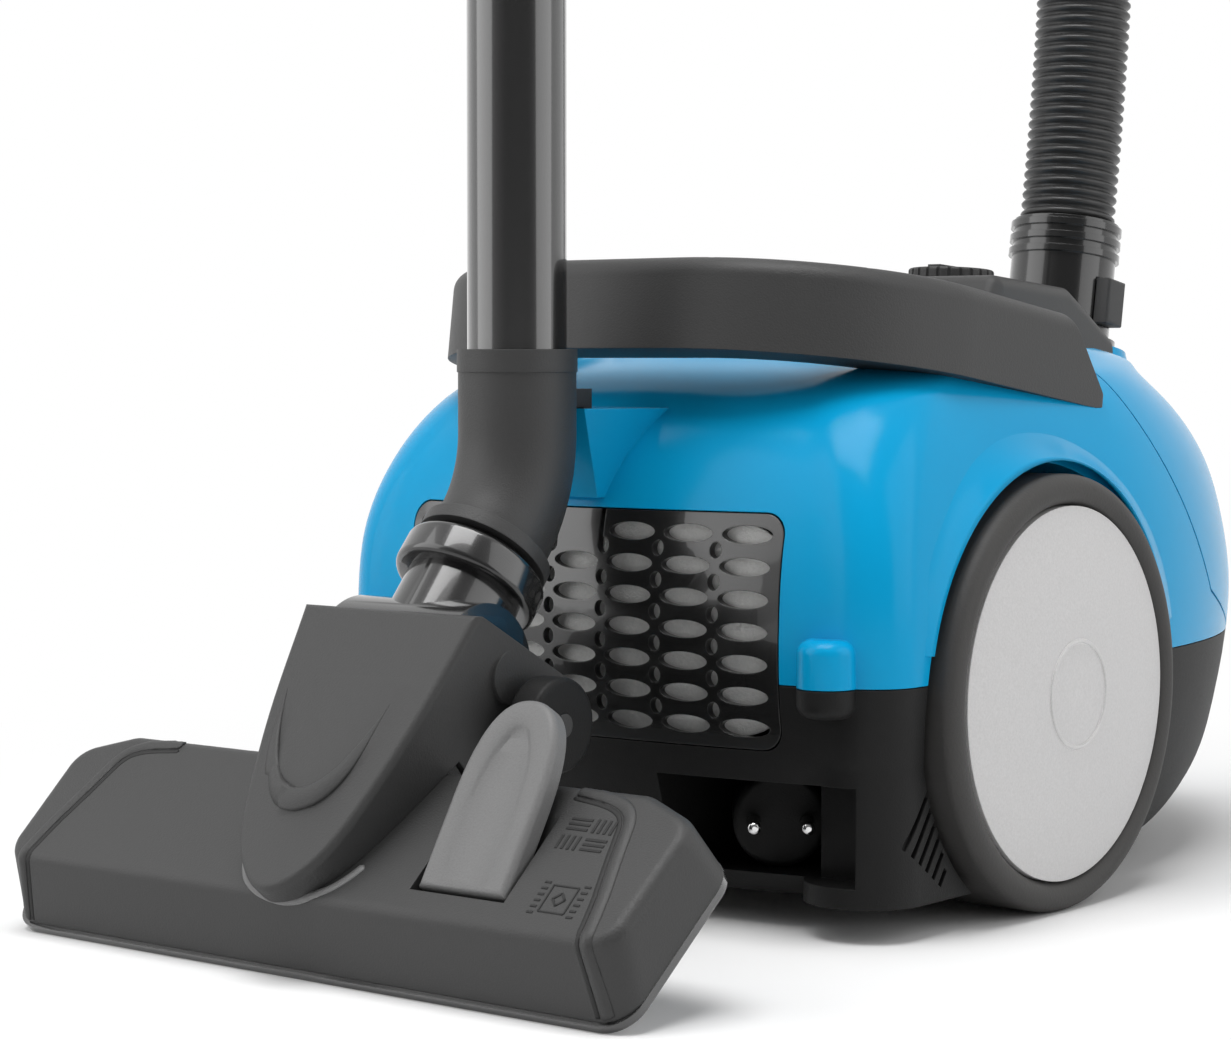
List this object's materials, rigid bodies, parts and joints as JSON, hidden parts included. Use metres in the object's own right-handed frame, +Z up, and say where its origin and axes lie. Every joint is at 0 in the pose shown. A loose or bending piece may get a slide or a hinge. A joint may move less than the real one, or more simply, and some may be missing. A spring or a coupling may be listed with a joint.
{
  "type": "canister vacuum cleaner",
  "caption": "Canister vacuum cleaner on wheels with a ribbed hose, telescopic wand and floor nozzle parked upright at its rear.",
  "frame": {"origin": "middle of the bounding box on the floor, measured without the hose", "axes": "+X is the right side, +Y points to the nose of the body, +Z is up along the parked wand"},
  "size_m": [0.2842, 0.5492, 1.1574],
  "materials": {
    "blue_plastic": "smooth",
    "dark_plastic": "fine texture",
    "black_gloss": "smooth",
    "grey_plastic": "fine texture",
    "disc_grey": "satin",
    "tyre": "satin",
    "rubber": "matt",
    "steel": "brushed",
    "chrome": "polished",
    "tube_metal": "gloss coat",
    "rotor_metal": "machined",
    "fleece": "felt",
    "paper": "paper",
    "hose_plastic": "satin",
    "board": "flat",
    "bristle": "bristle"
  },
  "bodies": {
    "canister": {"base_housing": "dark_plastic", "housing_screws": "steel", "upper_housing": "blue_plastic", "exhaust_grille": "black_gloss", "exhaust_filter": "fleece", "top_panel": "dark_plastic", "carry_handle": "dark_plastic", "lid_seal": "rubber", "lid_hinge_pin": "steel", "right_axle_stub": "steel", "left_axle_stub": "steel", "chamber_wall": "dark_plastic", "motor_filter": "fleece", "motor_housing": "grey_plastic", "reel_bracket": "steel", "power_board": "board", "dust_bag": "paper", "bag_holder": "grey_plastic", "plug_body": "rubber", "plug_pins": "chrome", "hose": "hose_plastic"},
    "right_wheel": {"right_tyre": "tyre", "right_wheel_disc": "disc_grey"},
    "left_wheel": {"left_tyre": "tyre", "left_wheel_disc": "disc_grey"},
    "caster": {"caster_fork": "dark_plastic", "caster_axle": "steel"},
    "caster_roller": {"caster_wheel": "grey_plastic"},
    "lid": {"dust_lid": "blue_plastic", "lid_cap": "black_gloss"},
    "dial": {"suction_dial": "grey_plastic"},
    "latch": {"lid_latch": "dark_plastic"},
    "connector": {"hose_connector": "black_gloss"},
    "right_tab": {"right_release_tab": "dark_plastic"},
    "left_tab": {"left_release_tab": "dark_plastic"},
    "power_button": {"power_pedal": "grey_plastic"},
    "rewind_button": {"rewind_pedal": "grey_plastic"},
    "lower_wand": {"wand_elbow": "dark_plastic", "outer_tube": "tube_metal", "lock_sleeve": "dark_plastic"},
    "wand_button": {"lock_button": "grey_plastic"},
    "neck": {"nozzle_neck": "dark_plastic", "swivel_ring": "black_gloss"},
    "nozzle": {"nozzle_hood": "dark_plastic", "head_shell": "dark_plastic", "sole_plate": "tube_metal", "pedal_pin": "steel"},
    "right_nozzle_roller": {"right_roller": "grey_plastic"},
    "left_nozzle_roller": {"left_roller": "grey_plastic"},
    "rocker": {"nozzle_pedal": "grey_plastic"},
    "front_brush": {"front_brush_strip": "bristle"},
    "rear_brush": {"rear_brush_strip": "bristle"},
    "upper_wand": {"inner_tube": "tube_metal", "wand_handle": "dark_plastic"},
    "cuff": {"hose_cuff": "dark_plastic"},
    "bleed": {"bleed_slider": "grey_plastic"},
    "rotor": {"motor_rotor": "rotor_metal"},
    "reel": {"cord_reel": "grey_plastic", "cord_winding": "rubber"}
  },
  "joints": [
    {"name": "right_wheel_spin", "type": "hinge", "parent": "canister", "child": "right_wheel", "pos_m": [0.118, 0.002, 0.08], "axis": [1, 0, 0], "continuous": true},
    {"name": "left_wheel_spin", "type": "hinge", "parent": "canister", "child": "left_wheel", "pos_m": [-0.118, 0.002, 0.08], "axis": [1, 0, 0], "continuous": true},
    {"name": "caster_swivel", "type": "hinge", "parent": "canister", "child": "caster", "pos_m": [0, 0.18, 0.045], "axis": [0, 0, 1], "continuous": true},
    {"name": "caster_roll", "type": "hinge", "parent": "caster", "child": "caster_roller", "pos_m": [0, 0.168, 0.017], "axis": [1, 0, 0], "continuous": true},
    {"name": "lid_hinge", "type": "hinge", "parent": "canister", "child": "lid", "pos_m": [0, 0.072, 0.2076], "axis": [1, 0, 0], "range_deg": [0, 50], "deforming": ["hose"]},
    {"name": "dial_turn", "type": "hinge", "parent": "lid", "child": "dial", "pos_m": [0, 0.132, 0.234], "axis": [0, 0.0605, 0.9982], "range_deg": [-135, 135]},
    {"name": "latch_pull", "type": "slide", "parent": "lid", "child": "latch", "axis": [0, 0, 1], "range_m": [0, 0.004]},
    {"name": "connector_swivel", "type": "hinge", "parent": "lid", "child": "connector", "pos_m": [0, 0.2148, 0.187], "axis": [0, 0.1685, 0.9857], "continuous": true},
    {"name": "right_tab_press", "type": "slide", "parent": "connector", "child": "right_tab", "axis": [-1, 0, 0], "range_m": [0, 0.0015]},
    {"name": "left_tab_press", "type": "slide", "parent": "connector", "child": "left_tab", "axis": [1, 0, 0], "range_m": [0, 0.0015]},
    {"name": "power_press", "type": "slide", "parent": "canister", "child": "power_button", "axis": [0, 0, -1], "range_m": [0, 0.004]},
    {"name": "rewind_press", "type": "slide", "parent": "canister", "child": "rewind_button", "axis": [0, 0, -1], "range_m": [0, 0.004]},
    {"name": "park_lift", "type": "slide", "parent": "canister", "child": "lower_wand", "axis": [0, 0, 1], "range_m": [0, 0.07]},
    {"name": "wand_lock_press", "type": "slide", "parent": "lower_wand", "child": "wand_button", "axis": [0, 1, 0], "range_m": [0, 0.002]},
    {"name": "elbow_swivel", "type": "hinge", "parent": "lower_wand", "child": "neck", "pos_m": [0, -0.149, 0.156], "axis": [0, -0.6428, -0.766], "range_deg": [-30, 30]},
    {"name": "neck_tilt", "type": "hinge", "parent": "neck", "child": "nozzle", "pos_m": [0, -0.19914, 0.09625], "axis": [1, 0, 0], "range_deg": [-15, 0]},
    {"name": "right_roller_spin", "type": "hinge", "parent": "nozzle", "child": "right_nozzle_roller", "pos_m": [0.052, -0.1929, 0.08076], "axis": [1, 0, 0], "continuous": true},
    {"name": "left_roller_spin", "type": "hinge", "parent": "nozzle", "child": "left_nozzle_roller", "pos_m": [-0.052, -0.1929, 0.08076], "axis": [1, 0, 0], "continuous": true},
    {"name": "pedal_rock", "type": "hinge", "parent": "nozzle", "child": "rocker", "pos_m": [0.07, -0.2347, 0.04959], "axis": [-1, 0, 0], "range_deg": [0, 4.5]},
    {"name": "front_brush_drop", "type": "slide", "parent": "nozzle", "child": "front_brush", "axis": [0, 0.6561, -0.7547], "range_m": [0, 0.006]},
    {"name": "rear_brush_drop", "type": "slide", "parent": "nozzle", "child": "rear_brush", "axis": [0, 0.6561, -0.7547], "range_m": [0, 0.006]},
    {"name": "wand_extend", "type": "slide", "parent": "canister", "child": "upper_wand", "axis": [0, 0, 1], "range_m": [-0.15, 0.1], "deforming": ["hose"]},
    {"name": "cuff_swivel", "type": "hinge", "parent": "upper_wand", "child": "cuff", "pos_m": [0, -0.096, 1.054], "axis": [0, -0.6961, -0.7179], "continuous": true},
    {"name": "bleed_slide", "type": "slide", "parent": "upper_wand", "child": "bleed", "axis": [0, 0, 1], "range_m": [0, 0.006]},
    {"name": "rotor_spin", "type": "hinge", "parent": "canister", "child": "rotor", "pos_m": [-0.032, 0.002, 0.086], "axis": [0, 1, 0], "continuous": true},
    {"name": "reel_spin", "type": "hinge", "parent": "canister", "child": "reel", "pos_m": [0.056, -0.018, 0.113], "axis": [1, 0, 0], "continuous": true}
  ],
  "couplings": [
    {"joint": "pedal_rock", "follows": "front_brush_drop", "rad_per_m": 13.089},
    {"joint": "rear_brush_drop", "follows": "front_brush_drop", "ratio": 1}
  ]
}
